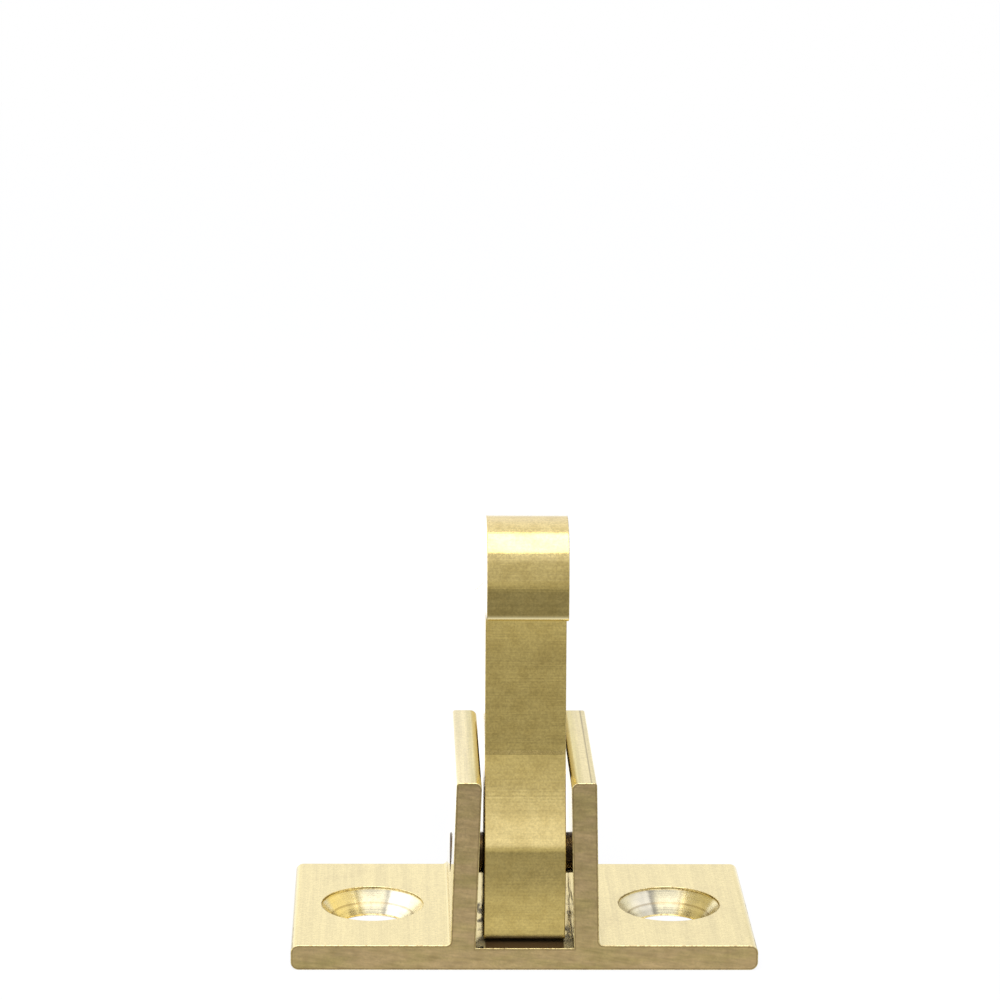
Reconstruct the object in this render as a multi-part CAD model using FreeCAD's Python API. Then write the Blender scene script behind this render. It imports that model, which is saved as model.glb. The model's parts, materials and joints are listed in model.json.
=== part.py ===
import FreeCAD, Part
import math
import os

# Cupboard catch in solid brass, in millimetres.
# X runs along the base plate, Y from the keeper side to the thumb tail, Z away from the wood.
# The origin is the centre of the plate's flat back face.

# Base plate, an extruded section sawn off at both sides
PLATE_LENGTH = 38.0
PLATE_DEPTH = 20.4
PLATE_THICK = 2.1
PLATE_END_ROUND = 0.65
CHANNEL_DROP = 0.25

# Two countersunk screw holes
HOLE_SPACING = 24.8
HOLE_DIA = 5.7
SINK_DIA = 8.5
SINK_ANGLE = 76.0
SINK_STEP = 0.18

# Upright ears of the base plate, which lean in towards the lever
EAR_HEIGHT = 13.8
EAR_THICK = 2.05
EAR_LEAN = 1.6
EAR_OUTER_ROUND = 0.25
EAR_INNER_ROUND = 0.55
EAR_ROOT_FILLET = 0.4

# Pivot pin, pressed into both ears
PIN_DIA = 3.4
PIN_HEIGHT = 4.5
PIN_PROUD = 0.05
PIN_END_CHAMFER = 0.1
PIN_CLEARANCE = 0.05

# Lever, sawn from an extruded bar; its heights are above the plate's top face,
# its setbacks are behind the plate's front edge, its overhangs beyond the rear edge
LEVER_WIDTH = 6.6
SIDE_CLEARANCE = 0.3
FOOT_CLEARANCE = 0.25
FOOT_SETBACK = 1.35
FOOT_ROUND = 0.4
BROW_SETBACK = 1.5
BROW_HEIGHT = 7.7
BROW_ROUND = 2.2
FACE_BULGE = 0.2
NOTCH_SETBACK = 4.4
NOTCH_HEIGHT = 14.8
NOTCH_HOLLOW = 0.2
NOSE_SETBACK = 7.0
NOSE_HEIGHT = 29.9
NOSE_RADIUS = 4.2
CHEEK_LEAN = 18.5
CHEEK_LENGTH = 1.9
CHEEK_ROUND = 5.0
LIP_LEAN = 5.0
LIP_DROP = 3.35
LIP_ROUND = 0.6
THROAT_INSET = 0.5
THROAT_FILLET = 0.8
NECK_DROP = 1.1
NECK_FILLET = 2.4
TAIL_OVERHANG = 22.4
TAIL_HEIGHT = 18.4
TAIL_THICK = 4.2
TAIL_RAKE = 1.0
TAIL_ROUND = 0.9
ARMPIT_OVERHANG = 5.0
ARMPIT_HEIGHT = 9.5
ARMPIT_FILLET = 0.8
KNUCKLE_OVERHANG = 2.4
KNUCKLE_HEIGHT = 7.2
KNUCKLE_ROUND = 0.8
HEEL_OVERHANG = 0.9
HEEL_ROUND = 0.5
PRESS_TRAVEL = 18.0
PRESS_SPARE = 3.0

# Return spring, in a blind hole in the lever's underside behind the pin
SPRING_DIA = 3.8
SPRING_WIRE = 0.55
SPRING_TURNS = 5.0
SPRING_WIRE_SIDES = 12
SPRING_INSET = 4.0
SPRING_POCKET_TOP = 10.0
SPRING_SIDE_CLEARANCE = 0.25

# Worked out from the sizes above
FRONT = -PLATE_DEPTH / 2
REAR = PLATE_DEPTH / 2
CHANNEL_FLOOR = PLATE_THICK - CHANNEL_DROP
EAR_TOP = PLATE_THICK + EAR_HEIGHT
PIN_Z = PLATE_THICK + PIN_HEIGHT
SPRING_Y = REAR - SPRING_INSET
LEAN_SLOPE = math.tan(math.radians(EAR_LEAN))


def ear_inner_x(z):
    """Half the gap between the ears at height z: it is narrowest at their tops."""
    return LEVER_WIDTH / 2 + SIDE_CLEARANCE + (EAR_TOP - z) * LEAN_SLOPE


def ear_outer_x(z):
    """Half the distance over the ears at height z."""
    return ear_inner_x(z) + EAR_THICK / math.cos(math.radians(EAR_LEAN))


def section_point(x, z):
    """A point of the bracket's section, in the plane of the front saw cut."""
    return FreeCAD.Vector(x, FRONT, z)


def side_point(y, z):
    """A point of the lever's outline, in the plane of its left side."""
    return FreeCAD.Vector(-LEVER_WIDTH / 2, y, z)


def edges_through(shape, points, along):
    """The straight edges that run along one axis and pass through the given points."""
    found = []
    for edge in shape.Edges:
        first = edge.firstVertex().Point
        last = edge.lastVertex().Point
        step = last - first
        if step.Length < 1e-6 or step.normalize().cross(along).Length > 1e-6:
            continue
        if any((point - first).cross(along).Length < 1e-4 for point in points):
            found.append(edge)
    return found


def bracket_outline():
    """Corner points of the bracket's section, from the left end round to the left end again."""
    half = PLATE_LENGTH / 2
    right = [
        section_point(ear_inner_x(CHANNEL_FLOOR), CHANNEL_FLOOR),
        section_point(ear_inner_x(EAR_TOP), EAR_TOP),
        section_point(ear_outer_x(EAR_TOP), EAR_TOP),
        section_point(ear_outer_x(PLATE_THICK), PLATE_THICK),
        section_point(half, PLATE_THICK),
        section_point(half, 0),
    ]
    left = [section_point(-point.x, point.z) for point in reversed(right)]
    return right, left


def screw_hole(x):
    """The tool that cuts one screw hole: a straight bore, a cone, and a short step down from the top face."""
    up = FreeCAD.Vector(0, 0, 1)
    half_angle = math.radians(SINK_ANGLE / 2)
    sink_depth = (SINK_DIA - HOLE_DIA) / 2 / math.tan(half_angle)
    sink_top = PLATE_THICK - SINK_STEP
    bore = Part.makeCylinder(HOLE_DIA / 2, PLATE_THICK, FreeCAD.Vector(x, 0, 0), up)
    cone_start = FreeCAD.Vector(x, 0, sink_top - sink_depth)
    cone = Part.makeCone(HOLE_DIA / 2, SINK_DIA / 2, sink_depth, cone_start, up)
    step = Part.makeCylinder(SINK_DIA / 2, SINK_STEP, FreeCAD.Vector(x, 0, sink_top), up)
    return bore.fuse(cone).fuse(step)


def make_bracket():
    """Base plate and ears in one piece, rounded along the extrusion, drilled for screws and pin."""
    along = FreeCAD.Vector(0, 1, 0)
    right, left = bracket_outline()
    section = Part.Face(Part.makePolygon(right + left + right[:1]))
    bracket = section.extrude(FreeCAD.Vector(0, PLATE_DEPTH, 0))

    rounds = [
        (EAR_INNER_ROUND, [right[1], left[-2]]),
        (EAR_OUTER_ROUND, [right[2], left[-3]]),
        (EAR_ROOT_FILLET, [right[3], left[-4]]),
        (PLATE_END_ROUND, right[4:6] + left[:2]),
    ]
    for radius, corners in rounds:
        bracket = bracket.makeFillet(radius, edges_through(bracket, corners, along))

    for x in (-HOLE_SPACING / 2, HOLE_SPACING / 2):
        bracket = bracket.cut(screw_hole(x))
    reach = ear_outer_x(PLATE_THICK)
    start = FreeCAD.Vector(-reach, 0, PIN_Z)
    pin_hole = Part.makeCylinder(PIN_DIA / 2, 2 * reach, start, FreeCAD.Vector(1, 0, 0))
    return bracket.cut(pin_hole)


def make_pin():
    """Plain pivot pin, its ends all but flush with the outer faces of the ears."""
    reach = ear_outer_x(PIN_Z) + PIN_PROUD
    start = FreeCAD.Vector(-reach, 0, PIN_Z)
    pin = Part.makeCylinder(PIN_DIA / 2, 2 * reach, start, FreeCAD.Vector(1, 0, 0))
    rims = [edge for edge in pin.Edges if isinstance(edge.Curve, Part.Circle)]
    return pin.makeChamfer(PIN_END_CHAMFER, rims)


def arc_through(start, end, bulge):
    """An arc between two outline points; a positive bulge stands out to the left of the way taken."""
    way = end - start
    aside = FreeCAD.Vector(0, -way.z, way.y).normalize()
    middle = (start + end) * 0.5 + aside * bulge
    return Part.Arc(start, middle, end).toShape()


def leaning_point(start, distance, lean):
    """The outline point reached from start by going down a face that leans back by an angle."""
    slope = math.radians(lean)
    return start - FreeCAD.Vector(0, distance * math.sin(slope), distance * math.cos(slope))


def way_out(centre, radius, inside, towards):
    """Where the line from a point inside a circle towards another point leaves the circle."""
    heading = (towards - inside).normalize()
    offset = inside - centre
    nearest = -offset.dot(heading)
    half_chord = math.sqrt(radius ** 2 - offset.Length ** 2 + nearest ** 2)
    return inside + heading * (nearest + half_chord)


def make_lever():
    """Hooked lever: foot, brow, keeper notch, hook and round nose in front, thumb tail behind."""
    along = FreeCAD.Vector(1, 0, 0)
    across = FreeCAD.Vector(LEVER_WIDTH, 0, 0)
    sole_z = CHANNEL_FLOOR + FOOT_CLEARANCE
    heel_radius = PIN_Z - sole_z
    heel_angle = math.radians(PRESS_TRAVEL + PRESS_SPARE)

    foot = side_point(FRONT + FOOT_SETBACK, sole_z)
    brow = side_point(FRONT + BROW_SETBACK, PLATE_THICK + BROW_HEIGHT)
    notch = side_point(FRONT + NOTCH_SETBACK, PLATE_THICK + NOTCH_HEIGHT)
    nose = side_point(FRONT + NOSE_SETBACK, PLATE_THICK + NOSE_HEIGHT)
    tail_top = side_point(REAR + TAIL_OVERHANG, PLATE_THICK + TAIL_HEIGHT)
    tail_low = side_point(tail_top.y - TAIL_RAKE, tail_top.z - TAIL_THICK)
    armpit = side_point(REAR + ARMPIT_OVERHANG, PLATE_THICK + ARMPIT_HEIGHT)
    knuckle = side_point(REAR + KNUCKLE_OVERHANG, PLATE_THICK + KNUCKLE_HEIGHT)

    # The nose is round on top; below, its cheek and lip run down to the hook's flat underside.
    crest = nose + FreeCAD.Vector(0, 0, NOSE_RADIUS)
    slope = math.radians(CHEEK_LEAN)
    forehead = nose + FreeCAD.Vector(0, -math.cos(slope), math.sin(slope)) * NOSE_RADIUS
    cheek = leaning_point(forehead, CHEEK_LENGTH, CHEEK_LEAN)
    hook_z = nose.z - LIP_DROP
    lip = leaning_point(cheek, (cheek.z - hook_z) / math.cos(math.radians(LIP_LEAN)), LIP_LEAN)
    throat = side_point(nose.y - THROAT_INSET, hook_z)
    nape = way_out(nose, NOSE_RADIUS, nose - FreeCAD.Vector(0, 0, NECK_DROP), tail_top)

    # The heel rolls round the pin as the tail is pressed, then its underside rises to the rear.
    sole_end = side_point(0, sole_z)
    roll_middle = side_point(
        heel_radius * math.sin(heel_angle / 2),
        PIN_Z - heel_radius * math.cos(heel_angle / 2),
    )
    roll_end = side_point(heel_radius * math.sin(heel_angle), PIN_Z - heel_radius * math.cos(heel_angle))
    heel_y = REAR + HEEL_OVERHANG
    heel = side_point(heel_y, roll_end.z + (heel_y - roll_end.y) * math.tan(heel_angle))

    outline = Part.Wire([
        arc_through(foot, brow, FACE_BULGE),
        arc_through(brow, notch, -NOTCH_HOLLOW),
        *Part.makePolygon([notch, throat, lip, cheek, forehead]).Edges,
        Part.Arc(forehead, crest, nape).toShape(),
        *Part.makePolygon([nape, tail_top, tail_low, armpit, knuckle, heel, roll_end]).Edges,
        Part.Arc(roll_end, roll_middle, sole_end).toShape(),
        Part.makeLine(sole_end, foot),
    ])
    lever = Part.Face(outline).extrude(across)

    rounds = [
        (FOOT_ROUND, foot),
        (BROW_ROUND, brow),
        (THROAT_FILLET, throat),
        (LIP_ROUND, lip),
        (CHEEK_ROUND, cheek),
        (NECK_FILLET, nape),
        (KNUCKLE_ROUND, knuckle),
        (ARMPIT_FILLET, armpit),
        (HEEL_ROUND, heel),
        (TAIL_ROUND, tail_top),
        (TAIL_ROUND, tail_low),
    ]
    for radius, corner in rounds:
        lever = lever.makeFillet(radius, edges_through(lever, [corner], along))

    pin_bore = Part.makeCylinder(
        PIN_DIA / 2 + PIN_CLEARANCE, LEVER_WIDTH, FreeCAD.Vector(-LEVER_WIDTH / 2, 0, PIN_Z), along
    )
    pocket = Part.makeCylinder(
        SPRING_DIA / 2 + SPRING_SIDE_CLEARANCE,
        PLATE_THICK + SPRING_POCKET_TOP - CHANNEL_FLOOR,
        FreeCAD.Vector(0, SPRING_Y, CHANNEL_FLOOR),
        FreeCAD.Vector(0, 0, 1),
    )
    return lever.cut(pin_bore).cut(pocket)


def make_spring():
    """Round-wire compression spring between the channel floor and the end of its pocket."""
    low = CHANNEL_FLOOR + SPRING_WIRE / 2
    high = PLATE_THICK + SPRING_POCKET_TOP - SPRING_WIRE / 2
    radius = (SPRING_DIA - SPRING_WIRE) / 2
    path = Part.makeHelix((high - low) / SPRING_TURNS, high - low, radius)
    path.translate(FreeCAD.Vector(0, SPRING_Y, low))
    start = path.Edges[0].firstVertex().Point
    heading = path.Edges[0].tangentAt(path.Edges[0].FirstParameter)

    # The round wire is drawn with flat sides, which keeps the coil's mesh light.
    circle = Part.Circle(start, heading, SPRING_WIRE / 2)
    corners = [circle.value(2 * math.pi * side / SPRING_WIRE_SIDES) for side in range(SPRING_WIRE_SIDES)]
    wire = Part.makePolygon(corners + corners[:1])
    return Part.Wire(path).makePipeShell([wire], True, True)


def main():
    pieces = {
        "bracket": make_bracket(),
        "pivot_pin": make_pin(),
        "lever": make_lever(),
        "return_spring": make_spring(),
    }
    os.makedirs("parts", exist_ok=True)
    for name, shape in pieces.items():
        shape.exportStep(os.path.join("parts", name + ".step"))
        box = shape.BoundBox
        print(name, shape.isValid(), len(shape.Solids), round(shape.Volume, 2),
              [round(v, 2) for v in (box.XMin, box.XMax, box.YMin, box.YMax, box.ZMin, box.ZMax)])


main()
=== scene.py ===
"""Looks of a solid brass cupboard catch: sawn extrusions, turned countersinks, drawn pin and spring wire."""

import json
import math

import bmesh
import bpy
from mathutils import Matrix, Vector


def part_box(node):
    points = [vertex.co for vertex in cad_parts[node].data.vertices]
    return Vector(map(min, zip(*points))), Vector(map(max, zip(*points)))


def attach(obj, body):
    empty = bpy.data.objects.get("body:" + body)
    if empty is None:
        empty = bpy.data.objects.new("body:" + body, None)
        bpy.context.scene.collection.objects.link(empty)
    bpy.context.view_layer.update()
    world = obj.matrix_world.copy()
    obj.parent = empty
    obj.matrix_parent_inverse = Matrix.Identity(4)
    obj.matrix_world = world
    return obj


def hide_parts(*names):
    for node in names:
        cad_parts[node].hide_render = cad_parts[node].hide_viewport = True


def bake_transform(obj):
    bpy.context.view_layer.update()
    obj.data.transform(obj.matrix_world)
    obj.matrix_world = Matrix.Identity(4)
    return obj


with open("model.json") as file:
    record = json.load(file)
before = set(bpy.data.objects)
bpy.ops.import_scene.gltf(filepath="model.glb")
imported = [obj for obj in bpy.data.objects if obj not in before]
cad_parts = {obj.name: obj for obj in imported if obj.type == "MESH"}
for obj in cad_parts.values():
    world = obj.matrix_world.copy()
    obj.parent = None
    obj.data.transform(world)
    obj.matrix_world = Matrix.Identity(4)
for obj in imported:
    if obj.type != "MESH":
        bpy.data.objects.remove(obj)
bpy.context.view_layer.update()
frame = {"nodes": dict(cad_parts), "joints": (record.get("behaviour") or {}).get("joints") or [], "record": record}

bl_info = {
    "name": "Brass cupboard catch",
    "version": (1, 0, 0),
    "blender": (4, 5, 0),
    "location": "View3D > Sidebar > Catch",
    "description": "Dresses the catch's bracket, lever, pin and spring in worked brass and sets its stage",
    "category": "Object",
}

MM = 0.001
SCREW_MOUNT = "screw_holes"
WHITE = (1, 1, 1, 1)
NOISE_RANGE = (0.3, 0.7)

# Places of the colour sockets on a Mix node, where several sockets share a name
MIX_FACTOR, MIX_FIRST, MIX_SECOND, MIX_RESULT = 0, 6, 7, 2

# Directions across and along a bar, and of the tools' marks
ALONG_Y = ((1, 0, 1), (0, 1, 0))
ALONG_X = ((0, 1, 1), (1, 0, 0))
SAW_SLANT = (0, math.radians(82), 0)
CUTTER_SLANT = (math.radians(55), 0, 0)
SAW_STRETCH = (0.24, 1, 1)
BROAD_SHARE = 0.16

# Edges of the dressed copies
SHARP_CORNER = math.radians(28)
FLAT_JOIN = math.radians(0.3)
WELD_REACH = 0.001 * MM
ARRIS_SEGMENTS = 2
ARRIS_PROFILE = 0.6
LARGE_FACES_FIRST = 100

# What tells one kind of face from another: distances, and how squarely a face looks along an axis
HOLE_REACH = 5 * MM
CROWN_DEPTH = 0.6 * MM
CROWN_TOP = 0.01 * MM
FLOOR_MATCH = 0.05 * MM
SQUARE_ON = 0.99
NEARLY_SQUARE = 0.9

# Material slots of the dressed bracket and of the dressed lever
EXTRUDED, SAWN, TURNED, BRACKET_ARRIS, CROWN, EAR_SIDE, CHANNEL, SAWN_RIM = range(8)
DRAWN, MILLED, LEVER_ARRIS = range(3)

# Painted shade and painted shadow on and round the lever, random soft patches, and painted reflections, a dark
# line and painted light on the ears' tops
SHADE_DULLING = 0.45
SHADE_SHEEN = 0.05
SHADE_SPECK_SIZE = 0.7 * MM
SHADE_SPECK_STRETCH = (1, 0.35, 1)
SHADE_END = 3 * MM
FOOT_SHADOW_REACH = 1.6 * MM
PATCH_SIZE = 1.3 * MM
PATCH_TINT = (0.91, 0.895, 0.855, 1)
CROWN_REFLECTION_TINT = (0.93, 0.93, 0.72, 1)
LINE_TINT = (0.5, 0.48, 0.38, 1)
LEFT_EAR_LIGHT = (1.06, 1.08, 1.22, 1)
RIGHT_EAR_SHADE = (0.95, 0.95, 0.95, 1)

# Floor, daylight and camera
FLOOR_DROP = 0.02 * MM
FLOOR_GLOW = 0.9
FLOOR_FADE = (0.1, 0.5)
DAYLIGHT_TINT = (1.01, 1.06, 1.48, 1)
SENSOR_WIDTH = 36
NEAREST, FARTHEST = 0.01, 10


def mount(name):
    """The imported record's mount of that name."""
    return next(m for m in frame["record"]["mounts"] if m["name"] == name)


def keeper_opening():
    """Lowest and highest z of the opening that takes the keeper, between the notch and the hook."""
    low, high = frame["record"]["physics"]["openings"][0]["box_m"]
    return low[2], high[2]


class CatchFinish(bpy.types.PropertyGroup):
    """Colours and surface sizes of the worked brass."""

    extruded_colour: bpy.props.FloatVectorProperty(
        name="Extruded brass", description="Colour of faces left as they came from the die",
        subtype="COLOR", size=4, min=0, max=1, default=(0.70, 0.580, 0.255, 1))
    lever_colour: bpy.props.FloatVectorProperty(
        name="Lever brass", description="Colour of the lever's faces, sides and edges",
        subtype="COLOR", size=4, min=0, max=1, default=(0.60, 0.464, 0.158, 1))
    sawn_colour: bpy.props.FloatVectorProperty(
        name="Sawn brass", description="Colour of the dull saw cuts",
        subtype="COLOR", size=4, min=0, max=1, default=(0.53, 0.394, 0.190, 1))
    olive_colour: bpy.props.FloatVectorProperty(
        name="Olive brass", description="Colour of the greener patches in the saw cuts",
        subtype="COLOR", size=4, min=0, max=1, default=(0.43, 0.350, 0.130, 1))
    turned_colour: bpy.props.FloatVectorProperty(
        name="Turned brass", description="Colour of the bright countersinks",
        subtype="COLOR", size=4, min=0, max=1, default=(0.77, 0.69, 0.42, 1))
    tarnish_colour: bpy.props.FloatVectorProperty(
        name="Tarnish", description="Colour of the faint brown stains",
        subtype="COLOR", size=4, min=0, max=1, default=(0.30, 0.21, 0.085, 1))
    # Painted shade: the pin is coloured almost black for the shade between the ears, though its brass is bright
    # where lit
    pin_shade_colour: bpy.props.FloatVectorProperty(
        name="Pin brass", description="Colour of the dulled pivot pin",
        subtype="COLOR", size=4, min=0, max=1, default=(0.075, 0.047, 0.020, 1))
    # Painted shade: the dark brown put on the lever's foot and notch, its sides between the ears, the ears' inner
    # sides and the channel floor round the foot
    painted_shade_colour: bpy.props.FloatVectorProperty(
        name="Grime", description="Colour of the old oil and dirt on and round the lever",
        subtype="COLOR", size=4, min=0, max=1, default=(0.055, 0.032, 0.011, 1))
    # Painted highlight: the bright colour put along the lip under the hook
    lip_highlight_colour: bpy.props.FloatVectorProperty(
        name="Worn brass", description="Colour of the lip that rubs on the keeper",
        subtype="COLOR", size=4, min=0, max=1, default=(0.95, 0.83, 0.47, 1))
    wire_colour: bpy.props.FloatVectorProperty(
        name="Spring wire", description="Colour of the return spring's steel wire",
        subtype="COLOR", size=4, min=0, max=1, default=(0.44, 0.43, 0.41, 1))
    arris_width: bpy.props.FloatProperty(
        name="Arris", description="Width of the broken edge along each sharp corner",
        unit="LENGTH", min=0, default=0.07 * MM)
    saw_rim: bpy.props.FloatProperty(
        name="Saw rim", description="Width of the dark rim that the saw leaves along the edges of a cut",
        unit="LENGTH", min=0, default=0.16 * MM)
    streak_pitch: bpy.props.FloatProperty(
        name="Die line pitch", description="Distance between the lines that the die leaves",
        unit="LENGTH", min=0, default=0.16 * MM)
    saw_pitch: bpy.props.FloatProperty(
        name="Saw line pitch", description="Distance between the marks of the saw's teeth",
        unit="LENGTH", min=0, default=0.22 * MM)
    crown_pitch: bpy.props.FloatProperty(
        name="Ear line pitch", description="Distance between the lines along the tops of the ears",
        unit="LENGTH", min=0, default=0.07 * MM)
    tool_pitch: bpy.props.FloatProperty(
        name="Tool ring pitch", description="Distance between the rings left in a countersink",
        unit="LENGTH", min=0, default=0.12 * MM)


class CatchStage(bpy.types.PropertyGroup):
    """Floor, light and camera."""

    floor_size: bpy.props.FloatProperty(
        name="Floor", description="Side of the square floor",
        unit="LENGTH", min=0, default=3.0)
    floor_bright: bpy.props.FloatProperty(
        name="Floor lit from", description="Y behind which the floor is well lit, seen in the metal",
        unit="LENGTH", default=-14 * MM)
    floor_dim: bpy.props.FloatProperty(
        name="Floor dim to", description="Y in front of which the floor is dim, seen in the metal",
        unit="LENGTH", default=-45 * MM)
    lamp_distance: bpy.props.FloatProperty(
        name="Softbox distance", description="Distance from the catch to the overhead softbox",
        unit="LENGTH", min=0, default=0.5)
    lamp_elevation: bpy.props.FloatProperty(
        name="Softbox elevation", description="Height angle of the softbox, on the camera's side",
        unit="ROTATION", default=math.radians(72))
    lamp_depth: bpy.props.FloatProperty(
        name="Softbox depth", description="Size of the softbox from front to back",
        unit="LENGTH", min=0, default=0.42)
    lamp_width: bpy.props.FloatProperty(
        name="Softbox width", description="Size of the softbox from left to right",
        unit="LENGTH", min=0, default=0.50)
    lamp_power: bpy.props.FloatProperty(
        name="Softbox power", description="Power of the softbox",
        unit="POWER", min=0, default=2.1)
    camera_place: bpy.props.FloatVectorProperty(
        name="Camera", description="Place of the camera in the catch's frame",
        subtype="TRANSLATION", size=3, default=(-11.58 * MM, -312.23 * MM, 112.77 * MM))
    camera_turn: bpy.props.FloatVectorProperty(
        name="Camera turn", description="Camera's angles: down, aside to the right, and tilt",
        subtype="EULER", size=3,
        default=(math.radians(13.665), math.radians(1.736), math.radians(0.637)))
    camera_lens: bpy.props.FloatProperty(
        name="Lens", description="Focal length in millimetres on a 36 mm sensor",
        min=1, default=141.9)


def add(tree, kind, **settings):
    """A new node; settings are its own properties."""
    node = tree.nodes.new(kind)
    for name, value in settings.items():
        setattr(node, name, value)
    return node


def feed(tree, socket, source):
    """Links an output to a socket, or sets the socket to a plain value."""
    if isinstance(source, bpy.types.NodeSocket):
        tree.links.new(source, socket)
    else:
        socket.default_value = source


def sums(tree, operation, first, second=None):
    """The output of a Math node."""
    node = add(tree, "ShaderNodeMath", operation=operation)
    for socket, source in zip(node.inputs, (first, second)):
        if source is not None:
            feed(tree, socket, source)
    return node.outputs[0]


def ramp(tree, value, low, high, start=0.0, end=1.0):
    """value spread smoothly from start to end while it goes from low to high."""
    node = add(tree, "ShaderNodeMapRange", interpolation_type="SMOOTHSTEP", clamp=True)
    sources = {"Value": value, "From Min": low, "From Max": high, "To Min": start, "To Max": end}
    for name, source in sources.items():
        feed(tree, node.inputs[name], source)
    return node.outputs["Result"]


def swing(tree, value, start, end):
    """A noise's value, spread from start to end over the range that a noise mostly keeps to."""
    return ramp(tree, value, *NOISE_RANGE, start, end)


def blend(tree, factor, first, second, way="MIX"):
    """The output of a colour Mix node."""
    node = add(tree, "ShaderNodeMix", data_type="RGBA", blend_type=way)
    feed(tree, node.inputs[MIX_FACTOR], factor)
    feed(tree, node.inputs[MIX_FIRST], first)
    feed(tree, node.inputs[MIX_SECOND], second)
    return node.outputs[MIX_RESULT]


def tinted(tree, colour, tint):
    """A colour multiplied by a tint or a shade."""
    return blend(tree, 1.0, colour, tint, "MULTIPLY")


def noise(tree, place, scale, detail=3.0, roughness=0.55):
    """The value of a Noise texture at a place given in metres."""
    node = add(tree, "ShaderNodeTexNoise")
    feed(tree, node.inputs["Vector"], place)
    feed(tree, node.inputs["Scale"], scale)
    feed(tree, node.inputs["Detail"], detail)
    feed(tree, node.inputs["Roughness"], roughness)
    return node.outputs[0]


def mapped(tree, place, turn=(0, 0, 0), scale=(1, 1, 1)):
    """A place scaled along each axis and then turned, so that a texture runs aslant or in long patches."""
    node = add(tree, "ShaderNodeMapping")
    feed(tree, node.inputs["Vector"], place)
    node.inputs["Rotation"].default_value = turn
    node.inputs["Scale"].default_value = scale
    return node.outputs[0]


def new_group(name, inputs, outputs):
    """A shader node group with named sockets, and its two end nodes."""
    tree = bpy.data.node_groups.new(name, "ShaderNodeTree")
    for socket, kind, value in inputs:
        made = tree.interface.new_socket(name=socket, in_out="INPUT", socket_type=kind)
        if value is not None:
            made.default_value = value
    for socket, kind in outputs:
        tree.interface.new_socket(name=socket, in_out="OUTPUT", socket_type=kind)
    return tree, add(tree, "NodeGroupInput"), add(tree, "NodeGroupOutput")


def lines_group():
    """Fine lines along one axis, as a drawing die or a saw leaves them, with a height to bump by."""
    name = "Drawn lines"
    if name in bpy.data.node_groups:
        return bpy.data.node_groups[name]
    tree, start, end = new_group(
        name,
        [("Place", "NodeSocketVector", None), ("Pitch", "NodeSocketFloat", 0.16 * MM),
         ("Across", "NodeSocketVector", (1, 0, 1)), ("Along", "NodeSocketVector", (0, 1, 0)),
         ("Draw", "NodeSocketFloat", 0.018)],
        [("Lines", "NodeSocketFloat"), ("Broad", "NodeSocketFloat")])
    per_metre = sums(tree, "DIVIDE", 1.0, start.outputs["Pitch"])
    squeeze = add(tree, "ShaderNodeVectorMath", operation="SCALE")
    feed(tree, squeeze.inputs[0], start.outputs["Along"])
    feed(tree, squeeze.inputs["Scale"], start.outputs["Draw"])
    axes = add(tree, "ShaderNodeVectorMath", operation="ADD")
    feed(tree, axes.inputs[0], start.outputs["Across"])
    feed(tree, axes.inputs[1], squeeze.outputs[0])
    place = add(tree, "ShaderNodeVectorMath", operation="MULTIPLY")
    feed(tree, place.inputs[0], start.outputs["Place"])
    feed(tree, place.inputs[1], axes.outputs[0])
    broad = sums(tree, "MULTIPLY", per_metre, BROAD_SHARE)
    feed(tree, end.inputs["Lines"], noise(tree, place.outputs[0], per_metre, 2.0, 0.6))
    feed(tree, end.inputs["Broad"], noise(tree, place.outputs[0], broad, 2.0, 0.5))
    return tree


def grain_group():
    """Fine matt grain and the broad faint stains of bare brass."""
    name = "Brass grain"
    if name in bpy.data.node_groups:
        return bpy.data.node_groups[name]
    tree, start, end = new_group(
        name,
        [("Place", "NodeSocketVector", None), ("Grain", "NodeSocketFloat", 0.09 * MM),
         ("Stain", "NodeSocketFloat", 5 * MM)],
        [("Grain", "NodeSocketFloat"), ("Stain", "NodeSocketFloat")])
    fine = sums(tree, "DIVIDE", 1.0, start.outputs["Grain"])
    feed(tree, end.inputs["Grain"], noise(tree, start.outputs["Place"], fine, 2.0, 0.7))
    broad = sums(tree, "DIVIDE", 1.0, start.outputs["Stain"])
    feed(tree, end.inputs["Stain"], noise(tree, start.outputs["Place"], broad, 4.0, 0.6))
    return tree


def place_group(tree, group, **sockets):
    """A group node in a material, with its inputs fed by name."""
    node = add(tree, "ShaderNodeGroup", node_tree=group)
    for name, source in sockets.items():
        feed(tree, node.inputs[name], source)
    return node


def new_metal(name):
    """A material with an empty metal shader, and its tree, shader and object coordinates."""
    material = bpy.data.materials.new(name)
    material.use_nodes = True
    tree = material.node_tree
    shader = tree.nodes["Principled BSDF"]
    shader.inputs["Metallic"].default_value = 1.0
    place = add(tree, "ShaderNodeTexCoord").outputs["Object"]
    return material, tree, shader, place


def finish_metal(tree, shader, colour, roughness, height, depth):
    """Feeds colour, roughness and a bump of that depth in metres into the metal shader."""
    feed(tree, shader.inputs["Base Color"], colour)
    feed(tree, shader.inputs["Roughness"], roughness)
    bump = add(tree, "ShaderNodeBump")
    feed(tree, bump.inputs["Height"], height)
    bump.inputs["Strength"].default_value = 1.0
    bump.inputs["Distance"].default_value = depth
    tree.links.new(bump.outputs[0], shader.inputs["Normal"])


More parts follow.
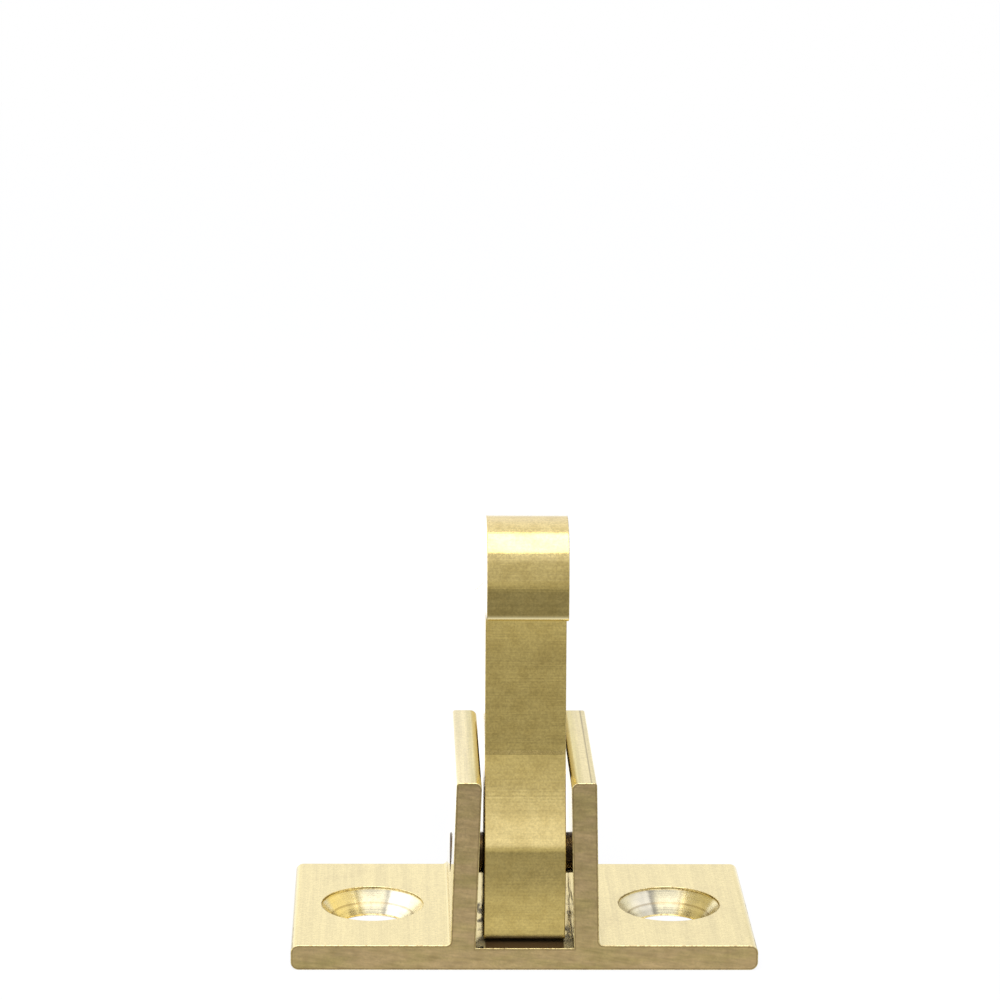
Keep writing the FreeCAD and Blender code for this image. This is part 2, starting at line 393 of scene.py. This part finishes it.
def extruded_brass(name, colour, finish, axes, pitch, roughness, mottle, streak, depth):
    """Brass as it leaves the die: lines along the bar, a little grain, faint stains."""
    material, tree, shader, place = new_metal(name)
    across, along = axes
    lines = place_group(tree, lines_group(), Place=place, Pitch=pitch, Across=across, Along=along)
    grain = place_group(tree, grain_group(), Place=place, Grain=0.2 * MM)
    stain = ramp(tree, grain.outputs["Stain"], 0.52, 0.85, 0.0, 0.22)
    tone = blend(tree, stain, colour, finish.tarnish_colour)
    broad = swing(tree, lines.outputs["Broad"], 1 - streak, 1.03)
    fine = swing(tree, lines.outputs["Lines"], 0.95, 1.04)
    speck = swing(tree, grain.outputs["Grain"], 1 - mottle, 1 + mottle)
    shade = sums(tree, "MULTIPLY", sums(tree, "MULTIPLY", broad, fine), speck)
    shaded = tinted(tree, tone, shade)
    dull = sums(tree, "ADD", roughness, swing(tree, grain.outputs["Grain"], -0.02, 0.04))
    height = sums(tree, "ADD", lines.outputs["Lines"], sums(tree, "MULTIPLY", grain.outputs["Grain"], 0.5))
    finish_metal(tree, shader, shaded, dull, height, depth)
    return material


def parted(tree):
    """Object coordinates, one by one: outputs named X, Y and Z."""
    parts = add(tree, "ShaderNodeSeparateXYZ")
    feed(tree, parts.inputs[0], add(tree, "ShaderNodeTexCoord").outputs["Object"])
    return parts.outputs


def darken_with_painted_shade(material, mask, finish):
    """Painted shade over part of a metal: dark brown and dull where the mask is 1."""
    tree = material.node_tree
    shader = tree.nodes["Principled BSDF"]
    clean = shader.inputs["Base Color"].links[0].from_socket
    polish = shader.inputs["Roughness"].links[0].from_socket
    duller = sums(tree, "ADD", polish, sums(tree, "MULTIPLY", mask, SHADE_DULLING))
    feed(tree, shader.inputs["Base Color"], blend(tree, mask, clean, finish.painted_shade_colour))
    feed(tree, shader.inputs["Roughness"], duller)
    feed(tree, shader.inputs["Metallic"], sums(tree, "SUBTRACT", 1.0, mask))
    shader.inputs["Specular IOR Level"].default_value = SHADE_SHEEN


def shade_specks(tree, strength):
    """Patches of painted shade, drawn out from front to back."""
    place = mapped(tree, add(tree, "ShaderNodeTexCoord").outputs["Object"], scale=SHADE_SPECK_STRETCH)
    return ramp(tree, noise(tree, place, 1 / SHADE_SPECK_SIZE, 1.5), 0.45, 0.62, 0.0, strength)


def at_front(tree, spot):
    """1 in front of the pin's axis, fading to 0 a little behind it."""
    return ramp(tree, spot["Y"], 0.0, SHADE_END, 1.0, 0.0)


def low_front(tree, spot, pin_z):
    """1 well below the pin and in front of it, fading to 0 elsewhere."""
    below = ramp(tree, spot["Z"], 0.7 * pin_z, pin_z, 1.0, 0.0)
    return sums(tree, "MULTIPLY", below, at_front(tree, spot))


def channel_shadow(material, finish, half_width, reach):
    """Painted shadow on the channel's floor under the front of the lever's foot, and painted shade in spots beside
    it.
    """
    tree = material.node_tree
    spot = parted(tree)
    aside = sums(tree, "ABSOLUTE", spot["X"])
    under = ramp(tree, aside, 0.95 * half_width, 1.03 * half_width, 1.0, 0.0)
    front = ramp(tree, spot["Y"], reach, reach + 2 * MM, 1.0, 0.0)
    painted_shade = sums(tree, "MULTIPLY", under, front)
    beside = sums(tree, "MULTIPLY", shade_specks(tree, 0.55), at_front(tree, spot))
    darken_with_painted_shade(material, sums(tree, "MAXIMUM", painted_shade, beside), finish)


def ear_gap_shade(material, finish, half_way, pin_z):
    """Painted shade in spots on the ears' inner sides below the pin, where they face the lever."""
    tree = material.node_tree
    spot = parted(tree)
    inside = ramp(tree, sums(tree, "ABSOLUTE", spot["X"]), 0.95 * half_way, half_way, 1.0, 0.0)
    shaded_inside = sums(tree, "MULTIPLY", inside, low_front(tree, spot, pin_z))
    darken_with_painted_shade(material, sums(tree, "MULTIPLY", shaded_inside, shade_specks(tree, 0.6)), finish)


def lever_side_shade(material, finish, pin_z, ear_top):
    """Painted shade on the lever's sides between the ears: along the front, and in spots below the pin."""
    tree = material.node_tree
    spot = parted(tree)
    front = ramp(tree, spot["Y"], -5 * MM, -1 * MM, 0.8, 0.0)
    between = ramp(tree, spot["Z"], 0.8 * ear_top, ear_top, 1.0, 0.0)
    painted_shade = sums(tree, "MULTIPLY", front, between)
    specked = sums(tree, "MULTIPLY", low_front(tree, spot, pin_z), shade_specks(tree, 0.7))
    darken_with_painted_shade(material, sums(tree, "MAXIMUM", painted_shade, specked), finish)


def lever_light_shade_and_patches(material, finish, sole, notch, hook, crest):
    """Painted light and shade on the lever, with random soft patches: painted shadow at its foot, painted shade in
    the crease at the notch, a painted highlight along the lip, painted light on the neck, and painted shade on the
    nose under a lighter crest.
    """
    tree = material.node_tree
    shader = tree.nodes["Principled BSDF"]
    plain = shader.inputs["Base Color"].links[0].from_socket
    height = parted(tree)["Z"]
    # Painted light: the neck lighter towards the hook; painted shade: the nose darker, with its crest lighter
    # again
    neck = sums(tree, "MULTIPLY", ramp(tree, height, notch, notch + 0.5 * MM, 1.07, 1.12),
                ramp(tree, height, (notch + 2 * hook) / 3, hook, 1.0, 1.3))
    nose = sums(tree, "MULTIPLY", ramp(tree, height, hook, hook + 0.2 * MM, 1.0, 0.645),
                ramp(tree, height, crest - 2.5 * MM, crest - 1.2 * MM, 1.0, 1.09))
    toned = tinted(tree, plain, sums(tree, "MULTIPLY", neck, nose))
    place = add(tree, "ShaderNodeTexCoord").outputs["Object"]
    patches = ramp(tree, noise(tree, place, 1 / PATCH_SIZE, 2.0), 0.40, 0.66)
    touched = blend(tree, patches, toned, tinted(tree, toned, PATCH_TINT))
    # Painted highlight along the lip just above the hook's underside
    lip = sums(tree, "MULTIPLY", ramp(tree, height, hook + 0.4 * MM, hook + 0.8 * MM, 1.0, 0.0),
               ramp(tree, height, hook, hook + 0.1 * MM, 0.0, 1.0))
    feed(tree, shader.inputs["Base Color"], blend(tree, lip, touched, finish.lip_highlight_colour))
    # Painted shadow at the foot's sole, and painted shade in the crease at the notch
    foot = ramp(tree, height, sole + 0.1 * MM, sole + 0.5 * MM, 0.95, 0.0)
    off_notch = sums(tree, "ABSOLUTE", sums(tree, "SUBTRACT", height, notch))
    corner = ramp(tree, off_notch, 0.05 * MM, 0.25 * MM, 0.3, 0.0)
    darken_with_painted_shade(material, sums(tree, "MAXIMUM", foot, corner), finish)


def crown_reflections_and_light(material, inner, outer):
    """Painted reflections along the ears' tops, yellower towards the lever, one dark line on the right ear, and
    painted light that makes the left ear lighter and bluer and the right ear darker.
    """
    tree = material.node_tree
    shader = tree.nodes["Principled BSDF"]
    plain = shader.inputs["Base Color"].links[0].from_socket
    aside = parted(tree)["X"]
    width = outer - inner
    off_middle = sums(tree, "ABSOLUTE", aside)
    # Painted reflection: the ears' tops yellower towards the lever
    inner_reflection = ramp(tree, off_middle, inner + 0.1 * width, inner + 0.5 * width, 1.0, 0.0)
    off_line = sums(tree, "ABSOLUTE", sums(tree, "SUBTRACT", aside, inner + 0.8 * width))
    line = ramp(tree, off_line, 0.02 * MM, 0.1 * MM, 1.0, 0.0)
    banded = blend(tree, inner_reflection, plain, tinted(tree, plain, CROWN_REFLECTION_TINT))
    lined = blend(tree, line, banded, tinted(tree, plain, LINE_TINT))
    # Painted light: the left ear lighter and bluer, the right ear darker
    ear_light = blend(tree, ramp(tree, aside, -inner, inner), LEFT_EAR_LIGHT, RIGHT_EAR_SHADE)
    feed(tree, shader.inputs["Base Color"], tinted(tree, lined, ear_light))


def sawn_brass(name, finish, dirt):
    """A dull saw cut: soft patches of brown and olive, fine grain, faint slanted tooth marks."""
    material, tree, shader, place = new_metal(name)
    slanted = mapped(tree, place, turn=SAW_SLANT)
    lines = place_group(tree, lines_group(), Place=slanted, Pitch=finish.saw_pitch, Across=(1, 0.2, 0),
                        Along=(0, 0, 1), Draw=0.12)
    long_place = mapped(tree, place, scale=SAW_STRETCH)
    patches = place_group(tree, grain_group(), Place=long_place, Grain=0.5 * MM, Stain=1.3 * MM)
    grain = place_group(tree, grain_group(), Place=place, Grain=0.2 * MM, Stain=0.8 * MM)
    olive = ramp(tree, patches.outputs["Stain"], 0.35, 0.7, 0.0, 0.75)
    hue = blend(tree, olive, finish.sawn_colour, finish.olive_colour)
    spots = ramp(tree, grain.outputs["Stain"], 0.42, 0.72, dirt, dirt + 0.3)
    tone = blend(tree, spots, hue, finish.tarnish_colour)
    marks = swing(tree, lines.outputs["Lines"], 0.92, 1.08)
    cloud = swing(tree, patches.outputs["Grain"], 0.93, 1.07)
    speck = swing(tree, grain.outputs["Grain"], 0.91, 1.09)
    shade = sums(tree, "MULTIPLY", sums(tree, "MULTIPLY", marks, cloud), speck)
    shaded = tinted(tree, tone, shade)
    dull = swing(tree, grain.outputs["Grain"], 0.44, 0.58)
    height = sums(tree, "ADD", patches.outputs["Grain"], sums(tree, "MULTIPLY", grain.outputs["Grain"], 0.7))
    finish_metal(tree, shader, shaded, dull, height, 0.012 * MM)
    return material


def milled_brass(name, colour, finish, across, along, tilt):
    """A smooth milled side, with faint slanted cutter marks."""
    material, tree, shader, place = new_metal(name)
    slanted = mapped(tree, place, turn=tilt)
    lines = place_group(tree, lines_group(), Place=slanted, Pitch=finish.saw_pitch, Across=across, Along=along)
    grain = place_group(tree, grain_group(), Place=place, Grain=0.12 * MM, Stain=6 * MM)
    stain = ramp(tree, grain.outputs["Stain"], 0.5, 0.85, 0.0, 0.25)
    tone = blend(tree, stain, colour, finish.tarnish_colour)
    marks = swing(tree, lines.outputs["Lines"], 0.95, 1.05)
    shaded = tinted(tree, tone, marks)
    dull = swing(tree, grain.outputs["Grain"], 0.05, 0.09)
    finish_metal(tree, shader, shaded, dull, lines.outputs["Lines"], 0.001 * MM)
    return material


def arris_brass(name, colour, finish):
    """The thin broken edge between two faces, bright with dull nicks."""
    material, tree, shader, place = new_metal(name)
    grain = place_group(tree, grain_group(), Place=place, Grain=0.25 * MM, Stain=1.5 * MM)
    nicks = ramp(tree, grain.outputs["Grain"], 0.45, 0.65, 0.0, 0.75)
    tone = blend(tree, nicks, colour, finish.tarnish_colour)
    finish_metal(tree, shader, tone, swing(tree, grain.outputs["Stain"], 0.25, 0.4),
                 grain.outputs["Grain"], 0.01 * MM)
    return material


def ring_place(tree, reach, depth):
    """A texture place that changes only with distance from the hole's axis and with depth."""
    joined = add(tree, "ShaderNodeCombineXYZ")
    feed(tree, joined.inputs["X"], reach)
    feed(tree, joined.inputs["Z"], depth)
    return joined.outputs[0]


def turned_brass(name, finish, half_spacing, bore_radius, sink_radius):
    """A bright countersink with rings from the cutter, round whichever hole is nearer; painted shade darkens its
    front and back walls, and the right countersink more than the left.
    """
    material, tree, shader, place = new_metal(name)
    spot = parted(tree)
    aside = sums(tree, "SUBTRACT", sums(tree, "ABSOLUTE", spot["X"]), half_spacing)
    outward = add(tree, "ShaderNodeCombineXYZ")
    feed(tree, outward.inputs["X"], aside)
    feed(tree, outward.inputs["Y"], spot["Y"])
    length = add(tree, "ShaderNodeVectorMath", operation="LENGTH")
    feed(tree, length.inputs[0], outward.outputs[0])
    reach = length.outputs["Value"]
    across = ring_place(tree, reach, spot["Z"])
    rings = noise(tree, across, sums(tree, "DIVIDE", 1.0, finish.tool_pitch), 2.0, 0.6)
    broad = noise(tree, across, sums(tree, "DIVIDE", 0.15, finish.tool_pitch), 2.0, 0.6)
    grain = place_group(tree, grain_group(), Place=place, Grain=0.15 * MM, Stain=1.5 * MM)
    step = bore_radius + 0.45 * (sink_radius - bore_radius)
    off_step = sums(tree, "ABSOLUTE", sums(tree, "SUBTRACT", reach, step))
    groove = ramp(tree, off_step, 0.03 * MM, 0.08 * MM, 0.45, 0.0)
    rim = ramp(tree, reach, sink_radius - 0.08 * MM, sink_radius - 0.03 * MM, 0.0, 0.6)
    dirt = sums(tree, "MAXIMUM", groove, rim)
    # Painted shade: walls that face front and back darker than those facing the sides, and the right countersink
    # darker than the left
    aslant = sums(tree, "DIVIDE", sums(tree, "ABSOLUTE", aside), reach)
    wall_shade = ramp(tree, aslant, 0.32, 0.42, 0.42, 1.0)
    sides = ramp(tree, spot["X"], -half_spacing, half_spacing, 1.0, 0.92)
    bright = tinted(tree, finish.turned_colour, sums(tree, "MULTIPLY", wall_shade, sides))
    tone = blend(tree, dirt, bright, finish.tarnish_colour)
    shade = sums(tree, "MULTIPLY", swing(tree, broad, 0.85, 1.05),
                 swing(tree, grain.outputs["Stain"], 0.85, 1.08))
    shaded = tinted(tree, tone, shade)
    dull = swing(tree, grain.outputs["Grain"], 0.2, 0.3)
    finish_metal(tree, shader, shaded, dull, rings, 0.008 * MM)
    return material


def plain_drawn(name, colour, finish, across, along, roughness):
    """Drawn round stock: lines along it and a mottled skin."""
    material, tree, shader, place = new_metal(name)
    lines = place_group(tree, lines_group(), Place=place, Pitch=finish.streak_pitch, Across=across, Along=along)
    grain = place_group(tree, grain_group(), Place=place, Stain=1.2 * MM)
    stain = ramp(tree, grain.outputs["Stain"], 0.45, 0.75, 0.0, 0.25)
    tone = blend(tree, stain, colour, finish.tarnish_colour)
    shaded = tinted(tree, tone, swing(tree, lines.outputs["Lines"], 0.85, 1.1))
    dull = swing(tree, grain.outputs["Grain"], roughness - 0.06, roughness + 0.08)
    finish_metal(tree, shader, shaded, dull, lines.outputs["Lines"], 0.006 * MM)
    return material


def neck_foot(shape, arris_width):
    """The edges where the lever's flat neck ends and its hollow belly begins, across both arrises."""
    fronts = [face for face in shape.faces if face.normal.y < -NEARLY_SQUARE]
    neck = max(fronts, key=lambda face: face.calc_area())
    corner = min((vert.co for vert in neck.verts), key=lambda place: place.z)
    near = {vert for vert in shape.verts if (vert.co.yz - corner.yz).length < 2 * arris_width}
    return [edge for edge in shape.edges if near.issuperset(edge.verts)]


def dressed_copy(node, name, materials, face_slot, arris_width, arris_slot,
                 rim_width=0, rim_slots=None, crisp=None):
    """A copy of a CAD node's mesh with broken edges and a material slot for each kind of face.

    rim_slots gives the slot of the faces that get a rim of that width, and the slot of the rim.
    crisp finds edges that stay crisp though they are blunt.
    """
    shape = bmesh.new()
    shape.from_mesh(frame["nodes"][node].data)
    bmesh.ops.remove_doubles(shape, verts=shape.verts, dist=WELD_REACH)
    bmesh.ops.dissolve_limit(shape, angle_limit=FLAT_JOIN, verts=shape.verts, edges=shape.edges)
    for face in shape.faces:
        face.material_index = face_slot(face)
    if rim_slots:
        cuts = [face for face in shape.faces if face.material_index == rim_slots[0]]
        rims = bmesh.ops.inset_region(shape, faces=cuts, thickness=rim_width, use_even_offset=True)
        for face in rims["faces"]:
            face.material_index = rim_slots[1]
    corners = [e for e in shape.edges if e.is_manifold and e.calc_face_angle() > SHARP_CORNER]
    bmesh.ops.bevel(shape, geom=corners, offset=arris_width, segments=ARRIS_SEGMENTS, profile=ARRIS_PROFILE,
                    affect="EDGES", clamp_overlap=True, material=arris_slot, offset_type="OFFSET")
    for face in shape.faces:
        face.smooth = True
    if crisp:
        for edge in crisp(shape, arris_width):
            edge.smooth = False
    mesh = bpy.data.meshes.new(name)
    shape.to_mesh(mesh)
    shape.free()
    for material in materials:
        mesh.materials.append(material)
    piece = bpy.data.objects.new(name, mesh)
    bpy.context.scene.collection.objects.link(piece)
    level = piece.modifiers.new("Even faces", "WEIGHTED_NORMAL")
    level.mode = "FACE_AREA"
    level.weight = LARGE_FACES_FIRST
    level.keep_sharp = True
    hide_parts(node)
    return piece


def hole_radii(node, half_spacing):
    """Distances from a screw hole's axis of the node's points in and round the hole."""
    points = (vertex.co for vertex in frame["nodes"][node].data.vertices)
    reaches = (Vector((abs(point.x) - half_spacing, point.y)).length for point in points)
    return [reach for reach in reaches if reach < HOLE_REACH]


class CATCH_OT_bracket(bpy.types.Operator):
    """Dress the base plate and ears: die lines along the bar, sawn ends, turned countersinks"""

    bl_idname = "catch.bracket"
    bl_label = "Dress bracket"

    def execute(self, context):
        finish = context.scene.catch_finish
        half_spacing = mount(SCREW_MOUNT)["dims"]["spacing_x_mm"] * MM / 2
        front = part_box("bracket")[0][1]
        ear_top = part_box("bracket")[1][2]
        channel_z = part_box("return_spring")[0][2]
        lever_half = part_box("lever")[1][0]
        ear_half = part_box("pivot_pin")[1][0]
        pin_z = frame["joints"][0]["pos_m"][2]
        rims = hole_radii("bracket", half_spacing)
        points = [vertex.co for vertex in frame["nodes"]["bracket"].data.vertices]
        crown = [abs(point.x) for point in points if point.z > ear_top - CROWN_TOP]

        def face_slot(face):
            centre = face.calc_center_median()
            near_hole = Vector((abs(centre.x) - half_spacing, centre.y)).length < HOLE_REACH
            if near_hole and centre.z < pin_z and abs(face.normal.z) < NEARLY_SQUARE:
                return TURNED
            if abs(face.normal.y) > SQUARE_ON:
                return SAWN
            if centre.z > ear_top - CROWN_DEPTH:
                return CROWN
            if abs(face.normal.x) > NEARLY_SQUARE:
                return EAR_SIDE
            if abs(centre.z - channel_z) < FLOOR_MATCH:
                return CHANNEL
            return EXTRUDED

        colour = finish.extruded_colour
        materials = [
            extruded_brass("extruded_brass", colour, finish, ALONG_Y, finish.streak_pitch,
                           roughness=0.13, mottle=0.08, streak=0.06, depth=0.005 * MM),
            sawn_brass("sawn_brass", finish, 0.0),
            turned_brass("turned_countersink", finish, half_spacing, min(rims), max(rims)),
            arris_brass("bracket_arris", colour, finish),
            extruded_brass("ear_crowns", colour, finish, ALONG_Y, finish.crown_pitch,
                           roughness=0.14, mottle=0.10, streak=0.20, depth=0.008 * MM),
            extruded_brass("ear_sides", colour, finish, ALONG_Y, finish.streak_pitch,
                           roughness=0.05, mottle=0.05, streak=0.04, depth=0.0005 * MM),
            extruded_brass("channel_floor", colour, finish, ALONG_Y, finish.streak_pitch,
                           roughness=0.12, mottle=0.08, streak=0.08, depth=0.003 * MM),
            sawn_brass("sawn_rim", finish, 0.6),
        ]
        crown_reflections_and_light(materials[CROWN], min(crown), max(crown))
        # Painted shade on the ears' inner sides, in the gap beside the lever
        ear_gap_shade(materials[EAR_SIDE], finish, (lever_half + ear_half) / 2, pin_z)
        # Painted shadow and painted shade on the channel floor round the lever's foot
        channel_shadow(materials[CHANNEL], finish, lever_half, front + FOOT_SHADOW_REACH)
        piece = dressed_copy("bracket", "dressed_bracket", materials, face_slot, finish.arris_width, BRACKET_ARRIS,
                             finish.saw_rim, (SAWN, SAWN_RIM))
        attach(piece, "base")
        return {"FINISHED"}


class CATCH_OT_lever(bpy.types.Operator):
    """Dress the hooked lever: die lines across its faces, milled sides, painted light and shade, random patches"""

    bl_idname = "catch.lever"
    bl_label = "Dress lever"

    def execute(self, context):
        finish = context.scene.catch_finish

        def face_slot(face):
            return MILLED if abs(face.normal.x) > SQUARE_ON else DRAWN

        materials = [
            extruded_brass("lever_brass", finish.lever_colour, finish, ALONG_X, finish.streak_pitch,
                           roughness=0.15, mottle=0.11, streak=0.06, depth=0.005 * MM),
            milled_brass("lever_milled_side", finish.lever_colour, finish, (0, 1, 0), (0, 0, 1), CUTTER_SLANT),
            arris_brass("lever_arris", finish.lever_colour, finish),
        ]
        sole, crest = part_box("lever")[0][2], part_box("lever")[1][2]
        notch, hook = keeper_opening()
        pin_z, ear_top = frame["joints"][0]["pos_m"][2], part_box("bracket")[1][2]
        # Painted light and shade on the lever's faces, with random patches
        lever_light_shade_and_patches(materials[DRAWN], finish, sole, notch, hook, crest)
        # Painted shade on the lever's sides between the ears
        lever_side_shade(materials[MILLED], finish, pin_z, ear_top)
        piece = dressed_copy("lever", "dressed_lever", materials, face_slot, finish.arris_width, LEVER_ARRIS,
                             crisp=neck_foot)
        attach(piece, "catch_lever")
        return {"FINISHED"}


class CATCH_OT_pin(bpy.types.Operator):
    """Give the pivot pin its drawn finish, coloured almost black as painted shade"""

    bl_idname = "catch.pin"
    bl_label = "Dress pin"

    def execute(self, context):
        finish = context.scene.catch_finish
        # Painted shade: the pin's colour is almost black
        material = plain_drawn("drawn_pin", finish.pin_shade_colour, finish, (0, 1, 1), (1, 0, 0), 0.34)
        pin = frame["nodes"]["pivot_pin"]
        pin.data.materials.clear()
        pin.data.materials.append(material)
        return {"FINISHED"}


class CATCH_OT_spring(bpy.types.Operator):
    """Give the return spring its wire finish"""

    bl_idname = "catch.spring"
    bl_label = "Dress spring"

    def execute(self, context):
        finish = context.scene.catch_finish
        material = plain_drawn("spring_wire", finish.wire_colour, finish, (0, 0, 1), (1, 1, 0), 0.3)
        mesh = frame["nodes"]["return_spring"].data.copy()
        mesh.materials.clear()
        mesh.materials.append(material)
        piece = bpy.data.objects.new("dressed_spring", mesh)
        context.scene.collection.objects.link(piece)
        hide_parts("return_spring")
        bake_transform(piece)
        return {"FINISHED"}


def pale_floor(stage):
    """A white floor that keeps the catch's shadow nearby; the metal sees it fall off towards the camera."""
    material = bpy.data.materials.new("pale_floor")
    material.use_nodes = True
    tree = material.node_tree
    tree.nodes.clear()
    path = add(tree, "ShaderNodeLightPath")
    place = add(tree, "ShaderNodeTexCoord").outputs["Object"]
    fleck = swing(tree, noise(tree, place, 40.0), 0.80, 0.82)
    matt = add(tree, "ShaderNodeBsdfDiffuse")
    feed(tree, matt.inputs["Color"], fleck)
    depth = parted(tree)["Y"]
    far = ramp(tree, depth, 4 * stage.floor_dim, stage.floor_dim, 0.37, 0.46)
    near = ramp(tree, depth, stage.floor_dim, stage.floor_bright, 0.0, 0.36)
    beyond = sums(tree, "ADD", ramp(tree, depth, -8 * MM, 6 * MM, 0.0, 0.18),
                  ramp(tree, depth, 10 * MM, 40 * MM, 0.0, 0.35))
    falloff = sums(tree, "ADD", sums(tree, "ADD", far, near), beyond)
    clear = sums(tree, "MAXIMUM", path.outputs["Is Camera Ray"], path.outputs["Is Transmission Ray"])
    glow = add(tree, "ShaderNodeEmission")
    feed(tree, glow.inputs["Color"], blend(tree, clear, falloff, WHITE))
    seen = sums(tree, "MAXIMUM", clear, path.outputs["Is Glossy Ray"])
    mixed = add(tree, "ShaderNodeMixShader")
    reach = add(tree, "ShaderNodeVectorMath", operation="LENGTH")
    feed(tree, reach.inputs[0], place)
    fade = ramp(tree, reach.outputs["Value"], *FLOOR_FADE, 0.0, 1 - FLOOR_GLOW)
    far_off = sums(tree, "MULTIPLY", clear, fade)
    feed(tree, mixed.inputs[0], sums(tree, "ADD", sums(tree, "MULTIPLY", seen, FLOOR_GLOW), far_off))
    tree.links.new(matt.outputs[0], mixed.inputs[1])
    tree.links.new(glow.outputs[0], mixed.inputs[2])
    tree.links.new(mixed.outputs[0], add(tree, "ShaderNodeOutputMaterial").inputs["Surface"])
    return material


def studio_world():
    """White all round to the eye; to metal, bright behind and above, and dim on the camera's side."""
    world = bpy.data.worlds.new("studio")
    bpy.context.scene.world = world
    world.use_nodes = True
    tree = world.node_tree
    tree.nodes.clear()
    path = add(tree, "ShaderNodeLightPath")
    heading = add(tree, "ShaderNodeSeparateXYZ")
    feed(tree, heading.inputs[0], add(tree, "ShaderNodeTexCoord").outputs["Generated"])
    wall = ramp(tree, heading.outputs["Z"], -0.05, 0.30, 0.43, 0.83)
    cornice = ramp(tree, heading.outputs["Z"], 0.38, 0.52, 0.0, 0.40)
    behind = ramp(tree, heading.outputs["Z"], 0.25, 0.60, 1.25, 1.42)
    room = ramp(tree, heading.outputs["Y"], -0.75, 0.35, sums(tree, "ADD", wall, cornice), behind)
    room = sums(tree, "MULTIPLY", room, ramp(tree, heading.outputs["X"], -0.15, 0.25, 1.03, 0.92))
    window = ramp(tree, heading.outputs["X"], -0.15, -0.9, 0.0, 0.7)
    light = sums(tree, "ADD", room, window)
    soft = sums(tree, "MULTIPLY", light, ramp(tree, path.outputs["Is Diffuse Ray"], 0.0, 1.0, 1.0, 0.6))
    daylight = blend(tree, ramp(tree, heading.outputs["Z"], 0.2, 0.7), WHITE, DAYLIGHT_TINT)
    strength = blend(tree, path.outputs["Is Camera Ray"], tinted(tree, daylight, soft), WHITE)
    sky = add(tree, "ShaderNodeBackground")
    feed(tree, sky.inputs["Color"], strength)
    tree.links.new(sky.outputs[0], add(tree, "ShaderNodeOutputWorld").inputs["Surface"])


class CATCH_OT_stage(bpy.types.Operator):
    """Set the pale floor, the soft overhead light and the camera"""

    bl_idname = "catch.stage"
    bl_label = "Set stage"

    def execute(self, context):
        stage = context.scene.catch_stage
        scene = context.scene
        scene.view_settings.view_transform = "Standard"

        half = stage.floor_size / 2
        mesh = bpy.data.meshes.new("floor")
        corners = [(-half, -half), (half, -half), (half, half), (-half, half)]
        mesh.from_pydata([(x, y, -FLOOR_DROP) for x, y in corners], [], [(0, 1, 2, 3)])
        mesh.materials.append(pale_floor(stage))
        floor = bpy.data.objects.new("floor", mesh)
        scene.collection.objects.link(floor)

        studio_world()

        softbox = bpy.data.lights.new("overhead_softbox", "AREA")
        softbox.shape = "RECTANGLE"
        softbox.size = stage.lamp_width
        softbox.size_y = stage.lamp_depth
        softbox.energy = stage.lamp_power
        lamp = bpy.data.objects.new("overhead_softbox", softbox)
        aim = Vector((0, -math.cos(stage.lamp_elevation), math.sin(stage.lamp_elevation)))
        lamp.location = aim * stage.lamp_distance
        lamp.rotation_euler = aim.to_track_quat("Z", "Y").to_euler()
        lamp.visible_camera = False
        scene.collection.objects.link(lamp)

        lens = bpy.data.cameras.new("camera")
        lens.lens = stage.camera_lens
        lens.sensor_width = SENSOR_WIDTH
        lens.clip_start = NEAREST
        lens.clip_end = FARTHEST
        camera = bpy.data.objects.new("camera", lens)
        down, aside, tilt = stage.camera_turn
        heading = Matrix.Rotation(-aside, 4, "Z") @ Matrix.Rotation(math.pi / 2 - down, 4, "X")
        turn = heading @ Matrix.Rotation(tilt, 4, "Z")
        camera.matrix_world = Matrix.Translation(stage.camera_place) @ turn
        scene.collection.objects.link(camera)
        scene.camera = camera
        return {"FINISHED"}


class CATCH_PT_sidebar(bpy.types.Panel):
    """Sizes, colours and steps of the catch"""

    bl_label = "Brass catch"
    bl_idname = "CATCH_PT_sidebar"
    bl_space_type = "VIEW_3D"
    bl_region_type = "UI"
    bl_category = "Catch"

    def draw(self, context):
        for group in (context.scene.catch_finish, context.scene.catch_stage):
            box = self.layout.box()
            for name in group.__annotations__:
                box.prop(group, name)
        for operator in OPERATORS:
            self.layout.operator(operator.bl_idname)


OPERATORS = (CATCH_OT_bracket, CATCH_OT_lever, CATCH_OT_pin, CATCH_OT_spring, CATCH_OT_stage)
CLASSES = (CatchFinish, CatchStage, *OPERATORS, CATCH_PT_sidebar)


def register():
    """Adds the catch's properties, operators and panel to Blender."""
    for kind in CLASSES:
        bpy.utils.register_class(kind)
    bpy.types.Scene.catch_finish = bpy.props.PointerProperty(type=CatchFinish)
    bpy.types.Scene.catch_stage = bpy.props.PointerProperty(type=CatchStage)


def unregister():
    """Takes them away again."""
    del bpy.types.Scene.catch_stage
    del bpy.types.Scene.catch_finish
    for kind in reversed(CLASSES):
        bpy.utils.unregister_class(kind)


def main():
    """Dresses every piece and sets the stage."""
    register()
    bpy.ops.catch.bracket()
    bpy.ops.catch.lever()
    bpy.ops.catch.pin()
    bpy.ops.catch.spring()
    bpy.ops.catch.stage()


if __name__ == "__main__":
    main()
